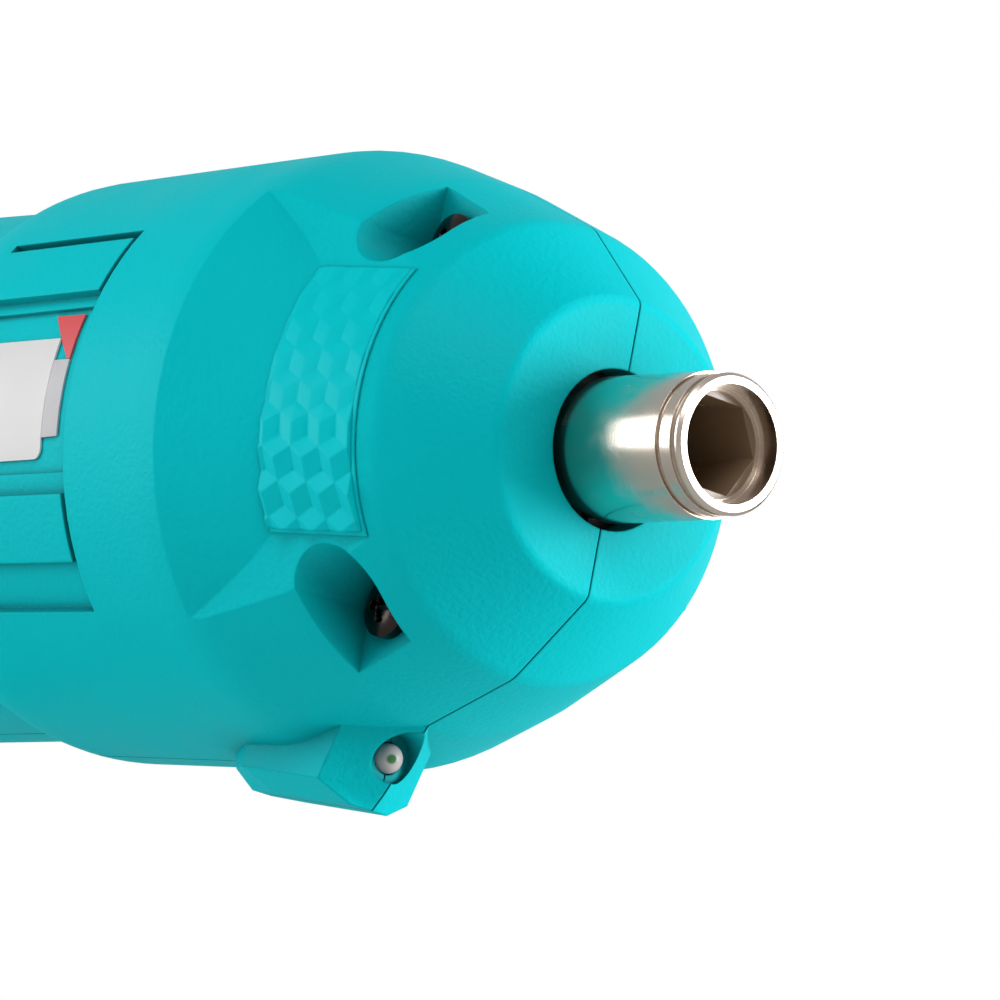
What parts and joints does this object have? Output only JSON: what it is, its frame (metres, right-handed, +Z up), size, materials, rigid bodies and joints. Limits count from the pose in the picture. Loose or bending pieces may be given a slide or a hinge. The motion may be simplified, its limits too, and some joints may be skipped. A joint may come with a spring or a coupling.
{
  "type": "cordless screwdriver",
  "caption": "Cordless screwdriver with a hexagon bit sleeve, planetary gearbox, folding handle with trigger, and a work light in its chin.",
  "frame": {"origin": "centre of the flat nose face, on the spindle's axis", "axes": "+X forward along the spindle, +Y to the tool's left, +Z up; the handle is folded down as a pistol grip at rest"},
  "size_m": [0.1683, 0.045, 0.1479],
  "materials": {
    "teal_shell": "fine moulded grain",
    "grip_rubber": "fine ribbed, matte",
    "black_plastic": "moulded, satin",
    "black_screw": "black oxide",
    "label_white": "printed film, plain",
    "nickel": "satin nickel",
    "steel": "ground",
    "bronze": "sintered, oiled",
    "nylon": "moulded natural nylon",
    "magnet": "sintered ferrite",
    "motor_steel": "zinc plated",
    "copper": "enamelled wire",
    "clear_lens": "clear epoxy",
    "circuit_board": "solder mask",
    "cell_wrap": "shrink film round a steel cell"
  },
  "bodies": {
    "head": {"head_shell_right": "teal_shell", "head_shell_left": "teal_shell", "head_screws": "black_screw", "side_label": "label_white", "spindle_bush": "bronze", "gear_case": "black_plastic", "thrust_washer": "steel", "ring_gear": "nylon", "motor_plate": "steel", "motor_plate_screws": "steel", "motor_can": "motor_steel", "motor_magnets": "magnet", "motor_end_cap": "black_plastic", "motor_brushes": "magnet", "motor_terminals": "copper", "led_lens": "clear_lens", "led_board": "circuit_board", "pivot_pin": "steel", "lock_spring": "steel"},
    "spindle": {"bit_sleeve": "nickel", "bit_magnet": "magnet", "retaining_clip": "steel", "output_carrier": "steel"},
    "first_carrier": {"stage1_carrier": "steel"},
    "rotor": {"motor_pinion": "steel", "motor_shaft": "steel", "armature_core": "steel", "armature_windings": "copper", "commutator": "copper"},
    "lock_button": {"fold_lock_button": "black_plastic"},
    "handle": {"handle_shell_right": "teal_shell", "handle_shell_left": "teal_shell", "handle_screws": "black_screw", "grip_overmold": "grip_rubber", "trigger_spring": "steel", "switch_module": "black_plastic", "battery_cell": "cell_wrap", "battery_tabs": "steel", "charge_board": "circuit_board", "charge_socket": "nickel", "charge_light": "clear_lens"},
    "trigger_lever": {"trigger": "black_plastic"},
    "selector": {"direction_selector": "black_plastic"},
    "stage1_planet_1": {"stage1_planet_1": "nylon"},
    "stage1_planet_2": {"stage1_planet_2": "nylon"},
    "stage1_planet_3": {"stage1_planet_3": "nylon"},
    "stage2_planet_1": {"stage2_planet_1": "steel"},
    "stage2_planet_2": {"stage2_planet_2": "steel"},
    "stage2_planet_3": {"stage2_planet_3": "steel"}
  },
  "joints": [
    {"name": "motor_turn", "type": "hinge", "parent": "head", "child": "rotor", "pos_m": [0, 0, 0], "axis": [1, 0, 0], "continuous": true},
    {"name": "first_stage_turn", "type": "hinge", "parent": "head", "child": "first_carrier", "pos_m": [0, 0, 0], "axis": [1, 0, 0], "continuous": true},
    {"name": "spindle_turn", "type": "hinge", "parent": "head", "child": "spindle", "pos_m": [0, 0, 0], "axis": [1, 0, 0], "continuous": true},
    {"name": "stage1_planet_1_turn", "type": "hinge", "parent": "first_carrier", "child": "stage1_planet_1", "pos_m": [-0.02888, 0.0075, 0], "axis": [1, 0, 0], "continuous": true},
    {"name": "stage1_planet_2_turn", "type": "hinge", "parent": "first_carrier", "child": "stage1_planet_2", "pos_m": [-0.02888, -0.00375, 0.0065], "axis": [1, 0, 0], "continuous": true},
    {"name": "stage1_planet_3_turn", "type": "hinge", "parent": "first_carrier", "child": "stage1_planet_3", "pos_m": [-0.02888, -0.00375, -0.0065], "axis": [1, 0, 0], "continuous": true},
    {"name": "stage2_planet_1_turn", "type": "hinge", "parent": "spindle", "child": "stage2_planet_1", "pos_m": [-0.02138, 0.0075, 0], "axis": [1, 0, 0], "continuous": true},
    {"name": "stage2_planet_2_turn", "type": "hinge", "parent": "spindle", "child": "stage2_planet_2", "pos_m": [-0.02138, -0.00375, 0.0065], "axis": [1, 0, 0], "continuous": true},
    {"name": "stage2_planet_3_turn", "type": "hinge", "parent": "spindle", "child": "stage2_planet_3", "pos_m": [-0.02138, -0.00375, -0.0065], "axis": [1, 0, 0], "continuous": true},
    {"name": "handle_fold", "type": "hinge", "parent": "head", "child": "handle", "pos_m": [-0.09668, 0, 0], "axis": [0, 1, 0], "range_deg": [0, 70]},
    {"name": "trigger_pull", "type": "slide", "parent": "handle", "child": "trigger_lever", "axis": [-0.9397, 0, 0.342], "range_m": [0, 0.0035], "stiffness_N_per_m": 850, "springref_m": -0.002, "deforming": ["trigger_spring"]},
    {"name": "selector_slide", "type": "slide", "parent": "handle", "child": "selector", "axis": [0, 1, 0], "range_m": [-0.0015, 0.0015]},
    {"name": "lock_press", "type": "slide", "parent": "head", "child": "lock_button", "axis": [0, 1, 0], "range_m": [0, 0.002], "stiffness_N_per_m": 900, "springref_m": -0.0015, "deforming": ["lock_spring"]}
  ],
  "couplings": [
    {"joint": "first_stage_turn", "follows": "motor_turn", "ratio": 0.15},
    {"joint": "spindle_turn", "follows": "motor_turn", "ratio": 0.0225},
    {"joint": "stage1_planet_1_turn", "follows": "motor_turn", "ratio": -0.36429},
    {"joint": "stage1_planet_2_turn", "follows": "motor_turn", "ratio": -0.36429},
    {"joint": "stage1_planet_3_turn", "follows": "motor_turn", "ratio": -0.36429},
    {"joint": "stage2_planet_1_turn", "follows": "motor_turn", "ratio": -0.054643},
    {"joint": "stage2_planet_2_turn", "follows": "motor_turn", "ratio": -0.054643},
    {"joint": "stage2_planet_3_turn", "follows": "motor_turn", "ratio": -0.054643}
  ]
}
